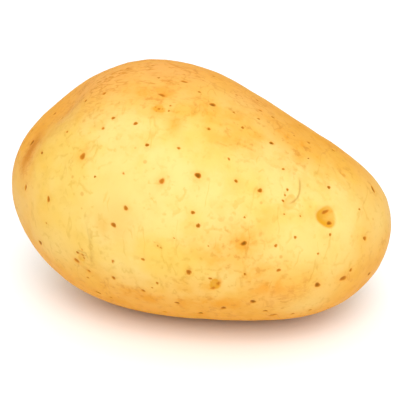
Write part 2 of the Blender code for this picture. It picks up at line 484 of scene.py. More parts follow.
class Surveyor:
    """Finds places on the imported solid's rounded skin.

    Attributes:
        LONG_REACH: How far outside the tuber a line of sight starts, in metres.
        MERGE: Distance under which the solid's vertices are one, in metres.
        ROUNDING: Rounds of subdivision that round off the solid's facets.
        FACES_TO_DRAW: One in this many faces is drawn as a place to sow a pore.
    """

    LONG_REACH = 0.2
    MERGE = 1e-6
    ROUNDING = 2
    FACES_TO_DRAW = 4

    def __init__(self) -> None:
        """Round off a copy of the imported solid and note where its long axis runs."""
        low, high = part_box(NODE)
        self.axis_height = (low.z + high.z) / 2.0
        self.centre = (low + high) / 2.0
        self.half = (high - low) / 2.0
        self.guide = self._rounded_copy()
        vertices = [vertex.co for vertex in self.guide.data.vertices]
        faces = [tuple(face.vertices) for face in self.guide.data.polygons]
        self.tree = BVHTree.FromPolygons(vertices, faces)

    def _rounded_copy(self) -> bpy.types.Object:
        """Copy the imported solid, merge its loose triangles and round off its facets.

        Returns:
            The copy, which stays until the skin is wrapped round it.
        """
        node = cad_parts[NODE]
        guide = node.copy()
        guide.data = node.data.copy()
        guide.parent = None
        bpy.context.scene.collection.objects.link(guide)
        choose(guide)
        bpy.ops.object.mode_set(mode="EDIT")
        bpy.ops.mesh.select_all(action="SELECT")
        bpy.ops.mesh.remove_doubles(threshold=self.MERGE)
        bpy.ops.object.mode_set(mode="OBJECT")
        finish_with(guide, "SUBSURF", levels=self.ROUNDING, render_levels=self.ROUNDING)
        return guide

    def _footing(self, centre: Vector, normal: Vector) -> Footing:
        """Set up the directions along the skin at one point.

        Args:
            centre: The point.
            normal: The skin's outward direction there.

        Returns:
            The footing.
        """
        ahead = (Vector((1.0, 0.0, 0.0)) - normal * normal.x).normalized()
        return Footing(np.array(centre), np.array(ahead), np.array(normal.cross(ahead)))

    def stand(self, place: Place) -> Footing:
        """Find a place on the skin by looking from outside towards the long axis.

        Args:
            place: The place.

        Returns:
            Where it is.

        Raises:
            ValueError: If the line of sight misses the tuber.
        """
        angle = math.radians(place.around)
        outward = Vector((0.0, -math.sin(angle), math.cos(angle)))
        axis = Vector((place.along * MM, 0.0, self.axis_height))
        centre, normal, *_ = self.tree.ray_cast(axis + outward * self.LONG_REACH, -outward)
        if centre is None:
            raise ValueError(f"no skin at {place}")
        return self._footing(centre, normal)

    def sow(self, sowing: Sowing, taken: list[np.ndarray]) -> list[tuple[Lenticel, Footing]]:
        """Draw pores over the skin, clear of those already there and of each other.

        Args:
            sowing: How they are sown.
            taken: Points that are kept clear, in metres.

        Returns:
            Each pore with its footing.
        """
        draw = np.random.default_rng(sowing.seed)
        faces = self.guide.data.polygons
        areas = np.array([face.area for face in faces])
        count = len(faces) // self.FACES_TO_DRAW
        order = draw.choice(len(faces), size=count, replace=False, p=areas / areas.sum())
        points = list(taken)
        sown = []
        for number in order:
            if len(sown) == sowing.pores:
                break
            face = faces[int(number)]
            centre = np.array(face.center)
            if np.linalg.norm(np.array(points) - centre, axis=1).min() < sowing.spacing * MM:
                continue
            size, tone, length = draw.random(3)
            # A sown pore stands on its footing, so its own place is not read.
            pore = Lenticel(
                Place(0.0, 0.0),
                across=sowing.smallest + (sowing.largest - sowing.smallest) * size**2,
                dark=sowing.palest + (sowing.darkest - sowing.palest) * tone,
                halo=float(draw.random()) * size,
                stretch=1.0 + (sowing.longest - 1.0) * length**2,
                turn=float(draw.uniform(-90.0, 90.0)),
            )
            points.append(centre)
            sown.append((pore, self._footing(face.center, face.normal)))
        return sown

    def leave(self) -> None:
        """Remove the rounded copy."""
        bpy.data.objects.remove(self.guide)


class SkinMarks:
    """The relief weights and the paint of one skin, vertex by vertex.

    The distances of a pore and a recess are shares of their half widths, so that 1 is the edge.

    Attributes:
        BRIM: How far round a mark its relief reaches, as a share of its width.
        EDGE_IN: Where a pore's plug is whole.
        EDGE_OUT: Where it ends.
        HALO_REACH: How far the stain round a pore spreads.
        MARGIN: How much further round a pore is looked at, in millimetres.
        RIM_AT: Where the raised rim of a pore stands.
        RIM_BREADTH: The breadth of that rim.
        DEPTH_BY_WIDTH: Share of the full relief that a pore 1 mm wide has.
        PORE_LOBES: Height and count of the two waves of a pore's uneven edge.
        RECESS_LOBES: Height, count and start of the waves of a recess's edge.
        BOWL: How much narrower than its stain a recess is sunk.
        FLOOR_EDGE: Where the stain of a recess ends and where it is whole.
        SHADE_RING: Where the ring of painted shade at the stain's edge starts and where it is darkest.
        SHADE_RING_SHARE: Strength of the stain inside that ring, lighter than the painted shade at the edge.
        SHADE_FADE_BAND: Where the stain starts to thin out towards the rose end and the top and where it is
            thinnest, as shares of its width; the side left darker is painted shade.
        TAPER: Share of a crease's half length at which it starts to taper.
        WAVER: How far a crease's line wavers, in millimetres.
        WAVES: Waves of that line for each turn.
        LINE_BREADTH: Breadth of that line, in millimetres.
    """

    BRIM = 2.2
    EDGE_IN = 0.25
    EDGE_OUT = 1.2
    HALO_REACH = 2.1
    MARGIN = 1.0
    RIM_AT = 1.45
    RIM_BREADTH = 0.38
    DEPTH_BY_WIDTH = 0.7
    PORE_LOBES = ((0.12, 2.0), (0.08, 3.0))
    RECESS_LOBES = ((0.1, 2.0, 1.0), (0.09, 3.0, 0.5))
    BOWL = 1.1
    FLOOR_EDGE = (1.12, 0.88)
    SHADE_RING = (0.3, 0.85)
    SHADE_RING_SHARE = 0.75
    SHADE_FADE_BAND = (-0.35, 0.6)
    TAPER = 0.55
    WAVER = 0.15
    WAVES = 5.0
    LINE_BREADTH = 0.25

    def __init__(self, places: np.ndarray) -> None:
        """Start with bare skin.

        Args:
            places: The vertices, as rows of x, y and z in metres.
        """
        self.places = places
        self.paint = {paint: np.zeros(len(places)) for paint in Paint}
        self.relief = {relief: np.zeros(len(places)) for relief in Relief}

    def _near(self, footing: Footing, reach: float) -> tuple[np.ndarray, np.ndarray, np.ndarray]:
        """Find the vertices round a footing.

        Args:
            footing: The footing.
            reach: How far to look, in millimetres.

        Returns:
            Their numbers, and their places ahead of it and up from it, in millimetres.
        """
        offset = (self.places - footing.centre) / MM
        near = np.nonzero((offset * offset).sum(axis=1) < reach * reach)[0]
        return near, offset[near] @ footing.ahead, offset[near] @ footing.up

    @staticmethod
    def _oval(ahead: np.ndarray, up: np.ndarray, width: float, stretch: float, turn: float) -> np.ndarray:
        """Measure how far points are from the middle of an oval, where 1 is its edge.

        Args:
            ahead: The points' places ahead of the middle, in millimetres.
            up: Their places up from it.
            width: The oval's mean width.
            stretch: Its length over its width.
            turn: Degrees that its long side turns from ahead towards up.

        Returns:
            The distance of each point.
        """
        angle = math.radians(turn)
        long_side = ahead * math.cos(angle) + up * math.sin(angle)
        short_side = up * math.cos(angle) - ahead * math.sin(angle)
        half_long = width / 2.0 * math.sqrt(stretch)
        half_short = width / 2.0 / math.sqrt(stretch)
        return np.hypot(long_side / half_long, short_side / half_short)

    def _lay(self, layer: np.ndarray, near: np.ndarray, amount: np.ndarray) -> None:
        """Lay an amount over a layer where it is stronger than what is there."""
        layer[near] = np.maximum(layer[near], amount)

    def pore(self, pore: Lenticel, footing: Footing) -> None:
        """Sink and paint one pore.

        Args:
            pore: The pore.
            footing: Where it stands.
        """
        reach = pore.across * math.sqrt(pore.stretch) * self.HALO_REACH + self.MARGIN
        near, ahead, up = self._near(footing, reach)
        distance = self._oval(ahead, up, pore.across, pore.stretch, pore.turn)
        bearing = np.arctan2(up, ahead)
        phase = footing.centre[0] / MM + footing.centre[2] / MM
        (wide, few), (narrow, many) = self.PORE_LOBES
        wobble = 1.0 + wide * np.sin(few * bearing + phase) + narrow * np.sin(many * bearing - 2.0 * phase)
        edge = distance * wobble
        plug = smoothstep(self.EDGE_OUT, self.EDGE_IN, edge)
        self._lay(self.paint[Paint.CORK], near, plug * pore.dark)
        self._lay(self.paint[Paint.HALO], near, np.exp(-((edge / self.HALO_REACH) ** 2)) * pore.halo)
        weight = min(1.0, pore.across * self.DEPTH_BY_WIDTH)
        self._lay(self.relief[Relief.PIT], near, plug * weight)
        rim = np.exp(-(((edge - self.RIM_AT) / self.RIM_BREADTH) ** 2))
        self._lay(self.relief[Relief.RIM], near, rim * weight)

    def recess(self, recess: Recess, footing: Footing) -> None:
        """Sink and paint one recess.

        Args:
            recess: The recess.
            footing: Where it stands.
        """
        near, ahead, up = self._near(footing, recess.width * self.BRIM)
        distance = self._oval(ahead, up, recess.width, recess.stretch, recess.turn)
        bearing = np.arctan2(up, ahead)
        waves = [height * np.sin(count * bearing + start) for height, count, start in self.RECESS_LOBES]
        edge = distance * (1.0 + sum(waves))
        self._lay(self.relief[Relief.HOLLOW], near, np.exp(-(distance**2) * self.BOWL) * recess.depth)
        lean = recess.width * recess.lean * np.sin(bearing - math.radians(recess.turn))
        floor = smoothstep(*self.FLOOR_EDGE, edge + lean)
        # The darker ring at the stain's edge, and the stain thinning towards the rose end and the top, are
        # painted shade of the recess.
        ring = self.SHADE_RING_SHARE + (1.0 - self.SHADE_RING_SHARE) * smoothstep(*self.SHADE_RING, edge)
        left = 1.0 - recess.fade * smoothstep(*self.SHADE_FADE_BAND, (ahead + up) / recess.width)
        self._lay(self.paint[Paint.AMBER], near, floor * ring * left * recess.amber)

    def crease(self, crease: Crease, footing: Footing) -> None:
        """Raise and paint one curved brow.

        Args:
            crease: The brow.
            footing: Where the middle of its circle stands.
        """
        near, ahead, up = self._near(footing, crease.radius + crease.breadth * self.BRIM)
        middle = crease.start + crease.sweep / 2.0
        bearing = np.degrees(np.arctan2(up, ahead)) - middle
        bearing = (bearing + 180.0) % 360.0 - 180.0
        along = smoothstep(1.0, self.TAPER, np.abs(bearing) / (crease.sweep / 2.0))
        ring = np.hypot(ahead, up) - crease.radius
        ridge = np.exp(-((ring / crease.breadth) ** 2))
        self._lay(self.relief[Relief.BROW], near, along * ridge * crease.brow)
        # Its line is painted shade along the crease.
        wavering = ring + self.WAVER * np.sin(np.radians(bearing) * self.WAVES)
        line = np.exp(-((wavering / self.LINE_BREADTH) ** 2))
        self._lay(self.paint[Paint.CREASE], near, along * line * crease.line)

    def patch(self, patch: Patch, footing: Footing) -> None:
        """Paint one wide patch, and raise flakes where it is russet.

        Args:
            patch: The patch.
            footing: Where its middle stands.
        """
        near, ahead, up = self._near(footing, max(patch.length, patch.width) * self.BRIM)
        mean_width = 2.0 * math.sqrt(patch.length * patch.width)
        distance = self._oval(ahead, up, mean_width, patch.length / patch.width, patch.turn)
        amount = np.exp(-(distance**2)) * patch.strength
        self._lay(self.paint[patch.paint], near, amount)
        if patch.paint is Paint.RUSSET:
            self._lay(self.relief[Relief.FLAKE], near, amount)


class Bench:
    """Adds and links the nodes of one tree, so that a finish reads as a recipe."""

    def __init__(self, tree: bpy.types.NodeTree) -> None:
        """Take up a tree.

        Args:
            tree: The tree.
        """
        self.tree = tree

    def feed(self, socket: bpy.types.NodeSocket, value: object) -> None:
        """Link a socket to an output, or set its own value.

        Args:
            socket: The input socket.
            value: An output socket or a plain value.
        """
        if isinstance(value, bpy.types.NodeSocket):
            self.tree.links.new(value, socket)
        else:
            socket.default_value = value

    def make(self, kind: str, inputs: dict[str | int, object], **settings: object) -> bpy.types.Node:
        """Add one node.

        Args:
            kind: The node's type.
            inputs: What feeds its sockets, by name or number.
            **settings: Its settings, which are set first.

        Returns:
            The node.
        """
        node = self.tree.nodes.new(kind)
        for name, value in settings.items():
            setattr(node, name, value)
        for name, value in inputs.items():
            self.feed(node.inputs[name], value)
        return node

    def sum(self, operation: str, first: object, second: object = 0.0) -> bpy.types.NodeSocket:
        """Work out one sum and return its result."""
        return self.make("ShaderNodeMath", {0: first, 1: second}, operation=operation).outputs[0]

    def vector(self, operation: str, first: object, second: object) -> bpy.types.NodeSocket:
        """Work out one sum of two vectors and return its result."""
        return self.make("ShaderNodeVectorMath", {0: first, 1: second}, operation=operation).outputs[0]

    def noise(self, place: object, scale: object, detail: float = 2.0) -> bpy.types.Node:
        """Add a cloudy noise and return its node."""
        return self.make("ShaderNodeTexNoise", {"Vector": place, "Scale": scale, "Detail": detail})

    def share(self, value: object, amount: float) -> bpy.types.NodeSocket:
        """Keep a share of a value."""
        return self.sum("MULTIPLY", value, amount)

    def band(self, value: object, low: object, high: object) -> bpy.types.NodeSocket:
        """Rise smoothly from 0 where a value is low to 1 where it is high."""
        inputs = {"Value": value, "From Min": low, "From Max": high}
        node = self.make("ShaderNodeMapRange", inputs, interpolation_type="SMOOTHSTEP")
        return node.outputs["Result"]

    def blend(self, amount: object, under: object, over: object) -> bpy.types.NodeSocket:
        """Lay one colour over another by an amount and return the result."""
        inputs = {0: amount, 6: under, 7: over}
        return self.make("ShaderNodeMix", inputs, data_type="RGBA").outputs[2]

    def darken(self, amount: object, under: object, tint: Colour) -> bpy.types.NodeSocket:
        """Multiply a colour by a tint, by an amount, and return the result."""
        inputs = {0: amount, 6: under, 7: opaque(tint)}
        return self.make("ShaderNodeMix", inputs, data_type="RGBA", blend_type="MULTIPLY").outputs[2]

    def attribute(self, paint: Paint) -> bpy.types.NodeSocket:
        """Read one of the skin's painted attributes."""
        node = self.make("ShaderNodeAttribute", {}, attribute_name=paint.value)
        return node.outputs["Fac"]


def opaque(colour: Colour) -> tuple[float, float, float, float]:
    """Add full alpha to a colour."""
    return (*colour, 1.0)


def outward(bearing: float, elevation: float) -> Vector:
    """Point from the object towards a bearing, in degrees from the front towards +X, and an elevation."""
    turn = math.radians(bearing)
    rise = math.radians(elevation)
    return Vector((math.sin(turn) * math.cos(rise), -math.cos(turn) * math.cos(rise), math.sin(rise)))


class Effect:
    """A shader node group with named inputs and one mask for its output, built once."""

    NAME = "effect"
    INPUTS: dict[str, float] = {}
    OUTPUT = "Mask"

    def __init__(self) -> None:
        """Build the group's tree."""
        self.tree = bpy.data.node_groups.new(self.NAME, "ShaderNodeTree")
        self.tree.interface.new_socket("Vector", in_out="INPUT", socket_type="NodeSocketVector")
        for name, value in self.INPUTS.items():
            socket = self.tree.interface.new_socket(name, in_out="INPUT", socket_type="NodeSocketFloat")
            socket.default_value = value
        self.tree.interface.new_socket(self.OUTPUT, in_out="OUTPUT", socket_type="NodeSocketFloat")
        bench = Bench(self.tree)
        entry = bench.make("NodeGroupInput", {})
        bench.make("NodeGroupOutput", {self.OUTPUT: self.recipe(bench, entry.outputs)})

    def recipe(self, bench: Bench, entry: bpy.types.bpy_prop_collection) -> bpy.types.NodeSocket:
        """Lay the group's nodes.

        Args:
            bench: The group's bench.
            entry: The group's inputs.

        Returns:
            The socket that holds the mask.
        """
        raise NotImplementedError

    def place(self, bench: Bench, **inputs: object) -> bpy.types.NodeSocket:
        """Place the group in a material.

        Args:
            bench: The material's bench.
            **inputs: What feeds the group's inputs, with _ for a space.

        Returns:
            The mask.
        """
        node = bench.make("ShaderNodeGroup", {}, node_tree=self.tree)
        for name, value in inputs.items():
            bench.feed(node.inputs[name.replace("_", " ")], value)
        return node.outputs[self.OUTPUT]


class Mottle(Effect):
    """Soft uneven patches.

    Attributes:
        ROUGHNESS: How much the finer layers of the noise show.
    """

    NAME = "mottle"
    INPUTS = {"Scale": 60.0, "Detail": 3.0, "Low": 0.4, "High": 0.65}
    ROUGHNESS = 0.55

    def recipe(self, bench: Bench, entry: bpy.types.bpy_prop_collection) -> bpy.types.NodeSocket:
        """Lay the nodes of the patches."""
        inputs = {"Vector": entry["Vector"], "Scale": entry["Scale"], "Detail": entry["Detail"]}
        noise = bench.make("ShaderNodeTexNoise", {**inputs, "Roughness": self.ROUGHNESS})
        return bench.band(noise.outputs["Fac"], entry["Low"], entry["High"])


class Netting(Effect):
    """Fine broken lines, as where the skin has stretched.

    Attributes:
        SWAY_SCALE: Scale of the noise that bends the lines.
        SWAY_DETAIL: Its detail.
        MIDDLE: Its middle value.
        BREAK_SCALE: Scale of the noise that breaks them.
        BREAK_SOFTNESS: How softly they break off.
        CLUSTER_BAND: Where the noise of the clusters leaves no lines and where it leaves all.
    """

    NAME = "netting"
    INPUTS = {"Scale": 330.0, "Width": 0.1, "Bend": 0.004, "Gaps": 0.53, "Clusters": 70.0}
    SWAY_SCALE = 170.0
    SWAY_DETAIL = 3.0
    MIDDLE = (0.5, 0.5, 0.5)
    BREAK_SCALE = 520.0
    BREAK_SOFTNESS = 0.1
    CLUSTER_BAND = (0.36, 0.58)

    def recipe(self, bench: Bench, entry: bpy.types.bpy_prop_collection) -> bpy.types.NodeSocket:
        """Lay the nodes of the lines."""
        sway = bench.noise(entry["Vector"], self.SWAY_SCALE, self.SWAY_DETAIL).outputs["Color"]
        centred = bench.vector("SUBTRACT", sway, self.MIDDLE)
        shift = bench.make("ShaderNodeVectorMath", {0: centred, "Scale": entry["Bend"]}, operation="SCALE")
        bent = bench.vector("ADD", entry["Vector"], shift.outputs[0])
        inputs = {"Vector": bent, "Scale": entry["Scale"]}
        cells = bench.make("ShaderNodeTexVoronoi", inputs, feature="DISTANCE_TO_EDGE")
        away = bench.sum("DIVIDE", cells.outputs["Distance"], entry["Width"])
        line = bench.sum("SUBTRACT", 1.0, bench.band(away, 0.0, 1.0))
        breaks = bench.noise(entry["Vector"], self.BREAK_SCALE).outputs["Fac"]
        kept = bench.band(bench.sum("SUBTRACT", breaks, entry["Gaps"]), 0.0, self.BREAK_SOFTNESS)
        fields = bench.noise(entry["Vector"], entry["Clusters"]).outputs["Fac"]
        thick = bench.band(fields, *self.CLUSTER_BAND)
        return bench.sum("MULTIPLY", bench.sum("MULTIPLY", line, kept), thick)


class Specks(Effect):
    """Tiny round specks, one in some of the cells of a grid of uneven cells.

    Attributes:
        LEAST_SIZE: Size of the smallest speck, as a share of the given size.
        EDGE: Where a speck is whole and where it ends, as shares of its size.
        TONES: How much the specks differ in strength, and the strength of the palest.
    """

    NAME = "specks"
    INPUTS = {"Scale": 300.0, "Size": 0.16, "Share": 0.25}
    LEAST_SIZE = 0.4
    EDGE = (0.6, 1.15)
    TONES = (0.6, 0.4)

    def recipe(self, bench: Bench, entry: bpy.types.bpy_prop_collection) -> bpy.types.NodeSocket:
        """Lay the nodes of the specks."""
        cells = bench.make("ShaderNodeTexVoronoi", {"Vector": entry["Vector"], "Scale": entry["Scale"]})
        luck = bench.make("ShaderNodeSeparateColor", {"Color": cells.outputs["Color"]})
        picked = bench.sum("LESS_THAN", luck.outputs["Red"], entry["Share"])
        size = bench.sum("MULTIPLY", entry["Size"], bench.sum("ADD", luck.outputs["Green"], self.LEAST_SIZE))
        away = bench.sum("DIVIDE", cells.outputs["Distance"], size)
        spot = bench.sum("SUBTRACT", 1.0, bench.band(away, *self.EDGE))
        spread, palest = self.TONES
        tone = bench.sum("ADD", bench.sum("MULTIPLY", luck.outputs["Blue"], spread), palest)
        return bench.sum("MULTIPLY", bench.sum("MULTIPLY", spot, picked), tone)


class Strokes(Effect):
    """Short thin strokes that mostly run one way, as scratches and flake edges do.

    Attributes:
        MIDDLE: The value of the noise whose contour the strokes follow.
        BREAK_SCALE: Scale of the noise that breaks them.
        BREAK_SOFTNESS: How softly they break off.
    """

    NAME = "strokes"
    INPUTS = {"Scale": 140.0, "Width": 0.012, "Gaps": 0.55}
    MIDDLE = 0.5
    BREAK_SCALE = 260.0
    BREAK_SOFTNESS = 0.06

    def recipe(self, bench: Bench, entry: bpy.types.bpy_prop_collection) -> bpy.types.NodeSocket:
        """Lay the nodes of the strokes."""
        contours = bench.noise(entry["Vector"], entry["Scale"]).outputs["Fac"]
        away = bench.sum("ABSOLUTE", bench.sum("SUBTRACT", contours, self.MIDDLE))
        width = bench.sum("MINIMUM", bench.sum("DIVIDE", away, entry["Width"]), 1.0)
        line = bench.sum("SUBTRACT", 1.0, width)
        breaks = bench.noise(entry["Vector"], self.BREAK_SCALE).outputs["Fac"]
        kept = bench.band(bench.sum("SUBTRACT", breaks, entry["Gaps"]), 0.0, self.BREAK_SOFTNESS)
        return bench.sum("MULTIPLY", line, kept)


@dataclass(frozen=True)
class SkinFinish:
    """Thin satin potato skin over pale yellow flesh.

    Attributes:
        pale: The lightest skin, also the colour of the painted highlights.
        yellow: The yellow of most of the skin.
        gold: Deeper yellow blotches.
        warm_and_rim_shade: The orange yellow of the ends, the top and the belly: partly the skin's own tone,
            partly painted shade where the skin turns away from the camera.
        stain: The orange stain round pores and in patches.
        peach: Flaky skin.
        russet: The edges of its flakes.
        amber: The floor of an eye.
        dirt: The tint that netting, smudges and strokes darken the skin by.
        crease: The tint of the painted shade along the lines of creases.
        ochre: The soft edges of the pores.
        cork: The plugs of the pores.
        yellowing: How far the broad patches turn pale skin yellow, from 0 to 1.
        blotching: How strongly the blotches show.
        fine_dirt: How strongly the finest patches darken the skin.
        smudge_dirt: How strongly the smudges do.
        line_dirt: How strongly the netting and the scratches do.
        stain_spread: Strength of a stain everywhere, and how much more it has in the finest patches.
        stain_smudges: How strongly smudges show in a stain.
        paling: How strongly pale patches show, among them the painted highlights.
        flaking: How strongly flaky patches show.
        speckling: How strongly the specks show.
        pore_edge: How dark a pore's paint is where its soft edge starts and where it is whole.
        pore_core: The same for its plug.
        lengthwise: Scale of the coordinates that draw the edges of flakes out along the tuber.
        crosswise: Scale of those that draw scratches out across it.
        roughness: How matt the bare skin is.
        cork_roughness: How much more matt cork is.
        flake_roughness: How matt flaky skin is, as a share of cork.
        fine_roughness: How much more matt the finest patches are.
        gloss: Strength of the skin's mirror reflection.
        glow: Share of the light that goes through the skin.
        glow_depth: How far that light reaches, in millimetres.
        glow_reach: How far red, green and blue light go, as shares of that depth.
        grain: Depth of the skin's fine grain, in millimetres.
        grain_scale: Grains for each metre.
        grain_detail: How many finer layers the grain has.
        grain_strength: How strongly the grain shows.
        grain_layers: How far fine patches and flakes stand up, and how deep netting and scratches cut.
        cheek_bearing: Degrees from the front, towards +X, that the middle of the near cheek faces; it is the
            camera's bearing.
        cheek_elevation: Degrees that it faces upwards, the camera's elevation. The far cheek is opposite.
        cheek_reach: Cosine of the angle from there at which the skin starts to turn warmer and shaded.
        rim_reach: Cosine of the angle at which it is warmest and most shaded.
    """

    pale: Colour = (0.74, 0.55, 0.172)
    yellow: Colour = (0.73, 0.47, 0.07)
    gold: Colour = (0.73, 0.41, 0.025)
    warm_and_rim_shade: Colour = (0.73, 0.325, 0.010)
    stain: Colour = (0.70, 0.285, 0.005)
    peach: Colour = (0.72, 0.335, 0.09)
    russet: Colour = (0.56, 0.21, 0.012)
    amber: Colour = (0.63, 0.285, 0.004)
    dirt: Colour = (0.78, 0.65, 0.28)
    crease: Colour = (0.62, 0.47, 0.22)
    ochre: Colour = (0.52, 0.175, 0.003)
    cork: Colour = (0.25, 0.088, 0.001)
    yellowing: float = 0.8
    blotching: float = 0.3
    fine_dirt: float = 0.2
    smudge_dirt: float = 0.24
    line_dirt: float = 0.42
    stain_spread: tuple[float, float] = (0.65, 0.5)
    stain_smudges: float = 0.7
    paling: float = 0.85
    flaking: float = 0.7
    speckling: float = 0.45
    pore_edge: tuple[float, float] = (0.0, 0.38)
    pore_core: tuple[float, float] = (0.24, 0.9)
    lengthwise: tuple[float, float, float] = (0.28, 1.0, 1.0)
    crosswise: tuple[float, float, float] = (1.0, 0.35, 0.35)
    roughness: float = 0.55
    cork_roughness: float = 0.5
    flake_roughness: float = 0.6
    fine_roughness: float = 0.08
    gloss: float = 0.25
    glow: float = 0.15
    glow_depth: float = 2.5
    glow_reach: tuple[float, float, float] = (1.0, 0.5, 0.15)
    grain: float = 0.03
    grain_scale: float = 1400.0
    grain_detail: float = 3.0
    grain_strength: float = 0.8
    grain_layers: tuple[float, float, float, float] = (0.8, 1.5, -0.7, -0.8)
    cheek_bearing: float = 15.0
    cheek_elevation: float = 25.0
    cheek_reach: float = 0.85
    rim_reach: float = 0.2

    def _rim_tone_and_shade(self, bench: Bench, place: bpy.types.NodeSocket, box: Box) -> bpy.types.NodeSocket:
        """Mask the tuber's rim, away from its two broad cheeks, where the skin is warmer: partly its own
        tone, partly painted shade where it turns away from the camera.

        Args:
            bench: The material's bench.
            place: Object coordinates.
            box: The least and the greatest corner of the tuber, in metres.

        Returns:
            The mask.
        """
        low, high = box
        steepness = [1.0 / side**2 for side in (high - low) / 2.0]
        slope = bench.vector("MULTIPLY", bench.vector("SUBTRACT", place, (low + high) / 2.0), steepness)
        facing = bench.make("ShaderNodeVectorMath", {0: slope}, operation="NORMALIZE").outputs[0]
        # The near cheek faces the camera, so the rim mask warms and darkens the skin as painted shade where
        # it turns from the view.
        cheek = outward(self.cheek_bearing, self.cheek_elevation)
        towards = bench.make("ShaderNodeVectorMath", {0: facing, 1: cheek}, operation="DOT_PRODUCT")
        return bench.band(bench.sum("ABSOLUTE", towards.outputs["Value"]), self.cheek_reach, self.rim_reach)

    def _layers(self, bench: Bench, place: bpy.types.NodeSocket) -> Layers:
        """Lay out the skin's own patterns and read the paint of its marks.

        Args:
            bench: The material's bench.
            place: Object coordinates.

        Returns:
            Every mask, by name.
        """
        mottle = Mottle()
        strokes = Strokes()
        lengthwise = bench.make("ShaderNodeMapping", {"Vector": place, "Scale": self.lengthwise}).outputs[0]
        crosswise = bench.make("ShaderNodeMapping", {"Vector": place, "Scale": self.crosswise}).outputs[0]
        layers = {
            "broad": mottle.place(bench, Vector=place, Scale=55.0, Detail=3.0, Low=0.38, High=0.66),
            "fine": mottle.place(bench, Vector=place, Scale=210.0, Detail=4.0, Low=0.42, High=0.68),
            "blotch": mottle.place(bench, Vector=place, Scale=120.0, Detail=5.0, Low=0.5, High=0.72),
            "smudge": mottle.place(bench, Vector=place, Scale=500.0, Detail=4.0, Low=0.55, High=0.7),
            "net": Netting().place(bench, Vector=place, Scale=300.0, Width=0.18, Gaps=0.52),
            "speck": Specks().place(bench, Vector=place, Scale=330.0, Size=0.17, Share=0.16),
            "scratch": strokes.place(bench, Vector=crosswise, Scale=240.0, Width=0.022, Gaps=0.55),
            "flake": strokes.place(bench, Vector=lengthwise, Scale=640.0, Width=0.06, Gaps=0.45),
        }
        layers.update({paint: bench.attribute(paint) for paint in Paint})
        layers["flaked"] = bench.sum("MULTIPLY", layers[Paint.RUSSET], layers["flake"])
        return layers

    def _colour(self, bench: Bench, layers: Layers, rim: bpy.types.NodeSocket) -> bpy.types.NodeSocket:
        """Lay the skin's colours over each other, from the lightest to the pores.

        Args:
            bench: The material's bench.
            layers: The masks.
            rim: The mask of the tuber's rim, which paints warmer skin and painted shade.

        Returns:
            The colour.
        """
        even, uneven = self.stain_spread
        spread = bench.sum("ADD", bench.share(layers["fine"], uneven), even)
        stained = bench.sum("MULTIPLY", layers[Paint.HALO], spread)
        smudged = bench.sum("MULTIPLY", layers["smudge"], bench.share(layers[Paint.HALO], self.stain_smudges))

        yellow = bench.share(layers["broad"], self.yellowing)
        colour = bench.blend(yellow, opaque(self.pale), opaque(self.yellow))
        # Warmer rim: partly the skin's own tone, partly painted shade of the edges turned away from the
        # camera.
        colour = bench.blend(rim, colour, opaque(self.warm_and_rim_shade))
        colour = bench.blend(bench.share(layers["blotch"], self.blotching), colour, opaque(self.gold))
        colour = bench.darken(bench.share(layers["fine"], self.fine_dirt), colour, self.dirt)
        colour = bench.blend(stained, colour, opaque(self.stain))
        colour = bench.darken(bench.share(layers["smudge"], self.smudge_dirt), colour, self.dirt)
        colour = bench.blend(smudged, colour, opaque(self.russet))
        # Pale patches: paler skin, and painted highlights on the near cheek.
        colour = bench.blend(bench.share(layers[Paint.PALE_AND_HIGHLIGHT], self.paling), colour, opaque(self.pale))
        colour = bench.blend(bench.share(layers[Paint.RUSSET], self.flaking), colour, opaque(self.peach))
        colour = bench.blend(layers["flaked"], colour, opaque(self.russet))
        colour = bench.darken(bench.share(layers["net"], self.line_dirt), colour, self.dirt)
        colour = bench.darken(bench.share(layers["scratch"], self.line_dirt), colour, self.dirt)
        # Eye floors: stain, with painted shade of each recess at its edge and on one side.
        colour = bench.blend(layers[Paint.AMBER], colour, opaque(self.amber))
        # Painted shade along the creases.
        colour = bench.darken(layers[Paint.CREASE], colour, self.crease)
        colour = bench.blend(bench.share(layers["speck"], self.speckling), colour, opaque(self.russet))
        colour = bench.blend(bench.band(layers[Paint.CORK], *self.pore_edge), colour, opaque(self.ochre))
        return bench.blend(bench.band(layers[Paint.CORK], *self.pore_core), colour, opaque(self.cork))

    def _roughness(self, bench: Bench, layers: Layers) -> bpy.types.NodeSocket:
        """Make cork and flakes more matt than the bare skin.

        Args:
            bench: The material's bench.
            layers: The masks.

        Returns:
            The roughness.
        """
        flaky = bench.share(layers[Paint.RUSSET], self.flake_roughness)
        matt = bench.sum("MAXIMUM", layers[Paint.CORK], flaky)
        rough = bench.sum("ADD", self.roughness, bench.share(matt, self.cork_roughness))
        return bench.sum("ADD", rough, bench.share(layers["fine"], self.fine_roughness))

    def _grain(self, bench: Bench, layers: Layers, place: bpy.types.NodeSocket) -> bpy.types.NodeSocket:
        """Raise the skin's fine grain and flakes, and cut its netting and scratches.

        Args:
            bench: The material's bench.
            layers: The masks.
            place: Object coordinates.

        Returns:
            The normal.
        """
        height = bench.noise(place, self.grain_scale, self.grain_detail).outputs["Fac"]
        for name, amount in zip(("fine", "flaked", "net", "scratch"), self.grain_layers):
            height = bench.sum("ADD", height, bench.share(layers[name], amount))
        inputs = {"Height": height, "Distance": self.grain * MM, "Strength": self.grain_strength}
        return bench.make("ShaderNodeBump", inputs).outputs["Normal"]

